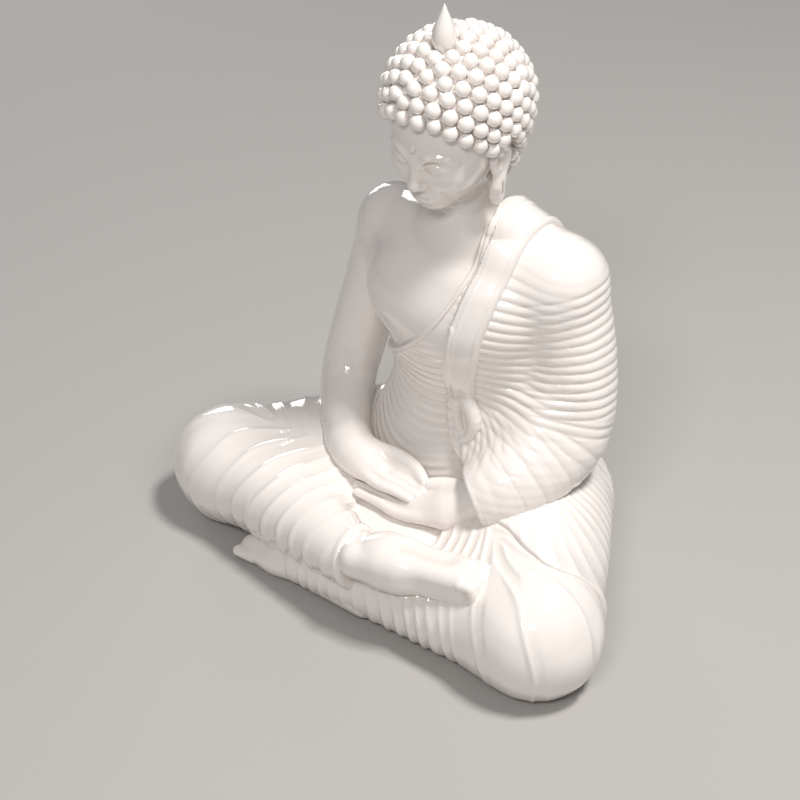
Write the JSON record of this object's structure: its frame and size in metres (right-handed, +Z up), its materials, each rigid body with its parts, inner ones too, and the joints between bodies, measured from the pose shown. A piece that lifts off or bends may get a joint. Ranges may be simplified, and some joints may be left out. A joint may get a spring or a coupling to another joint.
{
  "type": "seated figure statue",
  "caption": "White glazed porcelain figure seated cross-legged, hands in the lap, pleated robe over one shoulder, head of curls with a bud on top.",
  "frame": {"origin": "on the surface the figure stands on, below the middle of its seat", "axes": "+Z up through the head; the figure faces -Y, and its right side is -X"},
  "size_m": [0.1725, 0.1055, 0.202],
  "materials": {
    "porcelain": "clear glossy glaze over warm white porcelain",
    "bare_clay": "unglazed, smooth, matt"
  },
  "bodies": {
    "root": {"torso": "porcelain", "robe_back": "porcelain", "robe_front": "porcelain", "robe_chest": "porcelain", "robe_neckline": "porcelain", "shoulder_sash": "porcelain", "sash_tail": "porcelain", "right_arm": "porcelain", "left_sleeve": "porcelain", "right_hand": "porcelain", "left_hand": "porcelain", "right_leg": "porcelain", "left_leg": "porcelain", "right_foot": "porcelain", "left_foot": "porcelain", "robe_hem": "porcelain", "lap_cloth": "porcelain", "base_plate": "bare_clay", "head": "porcelain", "right_ear": "porcelain", "left_ear": "porcelain", "hair_cap": "porcelain", "hair_curls": "porcelain", "crown_flame": "porcelain", "urna": "porcelain"}
  },
  "joints": []
}
